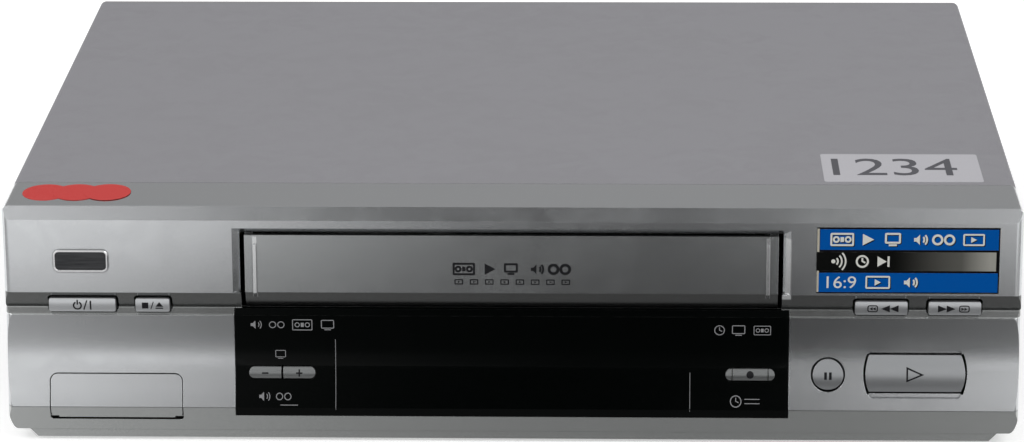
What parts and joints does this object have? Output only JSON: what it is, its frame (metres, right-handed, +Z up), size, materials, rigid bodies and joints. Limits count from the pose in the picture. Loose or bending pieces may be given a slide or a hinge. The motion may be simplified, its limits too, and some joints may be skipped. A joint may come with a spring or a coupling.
{
  "type": "video cassette recorder",
  "caption": "Front-loading home video cassette recorder: silver panel, sprung cassette door, keys, window, steel cover, working carriage and tape deck.",
  "frame": {"origin": "on the table under the middle of the recorder's box", "axes": "+X to the right seen from the front, -Y out of the front panel, +Z up"},
  "size_m": [0.4032, 0.297, 0.096],
  "materials": {
    "panel_plastic": "pearl silver, fine grain",
    "door_plastic": "satin silver",
    "key_plastic": "satin silver",
    "cover_paint": "fine powder coat",
    "zinc_sheet": "zinc plated",
    "black_plastic": "moulded",
    "window_acrylic": "polished",
    "board": "solder resist",
    "board_brown": "bare laminate",
    "rubber": "matte",
    "screw_black": "blackened",
    "tube_glass": "smoked",
    "coil": "taped",
    "capacitor_sleeve": "shrink sleeve",
    "aluminium": "machined",
    "tin_can": "tinned",
    "gear_plastic": "acetal",
    "reel_plastic": "acetal",
    "steel": "ground",
    "jack_yellow": "moulded",
    "jack_white": "moulded",
    "jack_red": "moulded",
    "badge_chrome": "bright plated rim",
    "label_paper": "coated paper",
    "sticker_film": "printed film",
    "sticker_red": "round paper sticker",
    "print_ink": "pad printed"
  },
  "bodies": {
    "chassis": {"bottom_chassis": "zinc_sheet", "rear_panel": "zinc_sheet", "top_cover": "cover_paint", "cover_screws": "screw_black", "front_panel": "panel_plastic", "foot_front_left": "rubber", "foot_front_right": "rubber", "foot_rear_left": "rubber", "foot_rear_right": "rubber", "display_window": "window_acrylic", "display_board": "board", "display_tube": "tube_glass", "key_boards": "board", "tact_switches": "black_plastic", "record_ends": "key_plastic", "video_jack": "jack_yellow", "audio_jack_left": "jack_white", "audio_jack_right": "jack_red", "main_board": "board", "power_board": "board_brown", "transformer": "coil", "capacitors": "capacitor_sleeve", "heat_sink": "aluminium", "tuner_module": "tin_can", "scart_socket_upper": "black_plastic", "scart_socket_lower": "black_plastic", "audio_out_jacks": "jack_red", "mains_inlet": "black_plastic", "deck_plate": "zinc_sheet", "carriage_bracket_left": "zinc_sheet", "carriage_bracket_right": "zinc_sheet", "loading_motor": "steel", "lower_drum": "aluminium", "full_erase_head": "steel", "audio_control_head": "steel", "drive_belt": "rubber"},
    "cassette_door": {"cassette_door": "door_plastic"},
    "jack_door": {"jack_door": "panel_plastic"},
    "power_key": {"power_key": "key_plastic"},
    "stop_eject_key": {"stop_eject_key": "key_plastic"},
    "rewind_key": {"rewind_key": "key_plastic"},
    "fast_forward_key": {"fast_forward_key": "key_plastic"},
    "pause_key": {"pause_key": "key_plastic"},
    "play_key": {"play_key": "key_plastic"},
    "channel_down_key": {"channel_down_key": "key_plastic"},
    "channel_up_key": {"channel_up_key": "key_plastic"},
    "record_key": {"record_key": "key_plastic"},
    "carriage_slider": {"carriage_slider": "zinc_sheet"},
    "cassette_holder": {"cassette_holder": "zinc_sheet"},
    "drive_gear": {"drive_gear": "gear_plastic"},
    "motor_pinion": {"motor_pinion": "gear_plastic"},
    "head_drum": {"head_drum": "aluminium"},
    "capstan": {"capstan": "steel"},
    "clutch_pulley": {"clutch_pulley": "black_plastic"},
    "supply_reel": {"supply_reel": "reel_plastic"},
    "takeup_reel": {"takeup_reel": "reel_plastic"},
    "pinch_arm": {"pinch_arm": "steel"},
    "pinch_roller": {"pinch_roller": "rubber"},
    "guide_supply": {"guide_supply": "steel"},
    "guide_takeup": {"guide_takeup": "steel"}
  },
  "joints": [
    {"name": "cassette_door_hinge", "type": "hinge", "parent": "chassis", "child": "cassette_door", "pos_m": [0, -0.1343, 0.087], "axis": [1, 0, 0], "range_deg": [0, 98], "stiffness_Nm_per_rad": 0.01, "springref_deg": -34.38},
    {"name": "jack_door_hinge", "type": "hinge", "parent": "chassis", "child": "jack_door", "pos_m": [-0.1567, -0.14652, 0.0113], "axis": [1, 0, 0], "range_deg": [0, 90]},
    {"name": "power_key_press", "type": "slide", "parent": "chassis", "child": "power_key", "axis": [0, 1, 0], "range_m": [0, 0.001], "stiffness_N_per_m": 400},
    {"name": "stop_eject_key_press", "type": "slide", "parent": "chassis", "child": "stop_eject_key", "axis": [0, 1, 0], "range_m": [0, 0.001], "stiffness_N_per_m": 400},
    {"name": "rewind_key_press", "type": "slide", "parent": "chassis", "child": "rewind_key", "axis": [0, 1, 0], "range_m": [0, 0.001], "stiffness_N_per_m": 400},
    {"name": "fast_forward_key_press", "type": "slide", "parent": "chassis", "child": "fast_forward_key", "axis": [0, 1, 0], "range_m": [0, 0.001], "stiffness_N_per_m": 400},
    {"name": "pause_key_press", "type": "slide", "parent": "chassis", "child": "pause_key", "axis": [0, 1, 0], "range_m": [0, 0.001], "stiffness_N_per_m": 400},
    {"name": "play_key_press", "type": "slide", "parent": "chassis", "child": "play_key", "axis": [0, 1, 0], "range_m": [0, 0.001], "stiffness_N_per_m": 400},
    {"name": "channel_down_key_press", "type": "slide", "parent": "chassis", "child": "channel_down_key", "axis": [0, 1, 0], "range_m": [0, 0.001], "stiffness_N_per_m": 400},
    {"name": "channel_up_key_press", "type": "slide", "parent": "chassis", "child": "channel_up_key", "axis": [0, 1, 0], "range_m": [0, 0.001], "stiffness_N_per_m": 400},
    {"name": "record_key_press", "type": "slide", "parent": "chassis", "child": "record_key", "axis": [0, 1, 0], "range_m": [0, 0.001], "stiffness_N_per_m": 400},
    {"name": "carriage_slide", "type": "slide", "parent": "chassis", "child": "carriage_slider", "axis": [0, 1, 0], "range_m": [0, 0.06]},
    {"name": "carriage_lower", "type": "slide", "parent": "carriage_slider", "child": "cassette_holder", "axis": [0, 0, -1], "range_m": [0, 0.022]},
    {"name": "drive_gear_spin", "type": "hinge", "parent": "chassis", "child": "drive_gear", "pos_m": [0.0979, -0.0285, 0.0295], "axis": [1, 0, 0], "range_deg": [-345, 1]},
    {"name": "motor_pinion_spin", "type": "hinge", "parent": "chassis", "child": "motor_pinion", "pos_m": [0.0979, -0.0125, 0.0295], "axis": [1, 0, 0], "range_deg": [-1, 574]},
    {"name": "head_drum_spin", "type": "hinge", "parent": "chassis", "child": "head_drum", "pos_m": [0, 0.0815, 0.048], "axis": [0, 0.1045, 0.9945], "continuous": true},
    {"name": "capstan_spin", "type": "hinge", "parent": "chassis", "child": "capstan", "pos_m": [0.06, 0.0565, 0.0295], "axis": [0, 0, 1], "continuous": true},
    {"name": "clutch_spin", "type": "hinge", "parent": "chassis", "child": "clutch_pulley", "pos_m": [0, -0.0115, 0.022], "axis": [0, 0, 1], "continuous": true},
    {"name": "supply_reel_spin", "type": "hinge", "parent": "chassis", "child": "supply_reel", "pos_m": [-0.046, -0.0155, 0.033], "axis": [0, 0, 1], "continuous": true},
    {"name": "takeup_reel_spin", "type": "hinge", "parent": "chassis", "child": "takeup_reel", "pos_m": [0.046, -0.0155, 0.033], "axis": [0, 0, 1], "continuous": true},
    {"name": "pinch_arm_swing", "type": "hinge", "parent": "chassis", "child": "pinch_arm", "pos_m": [0.08, 0.0675, 0.033], "axis": [0, 0, -1], "range_deg": [0, 33]},
    {"name": "pinch_roller_spin", "type": "hinge", "parent": "pinch_arm", "child": "pinch_roller", "pos_m": [0.07611, 0.05301, 0.048], "axis": [0, 0, 1], "continuous": true},
    {"name": "guide_supply_slide", "type": "slide", "parent": "chassis", "child": "guide_supply", "axis": [-0.3315, 0.9435, 0], "range_m": [0, 0.0392]},
    {"name": "guide_takeup_slide", "type": "slide", "parent": "chassis", "child": "guide_takeup", "axis": [0.3315, 0.9435, 0], "range_m": [0, 0.0392]}
  ],
  "couplings": [
    {"joint": "drive_gear_spin", "follows": "carriage_slide", "rad_per_m": -100},
    {"joint": "motor_pinion_spin", "follows": "carriage_slide", "rad_per_m": 166.67},
    {"joint": "clutch_spin", "follows": "capstan_spin", "ratio": 1.6429},
    {"joint": "guide_takeup_slide", "follows": "guide_supply_slide", "ratio": 1}
  ]
}
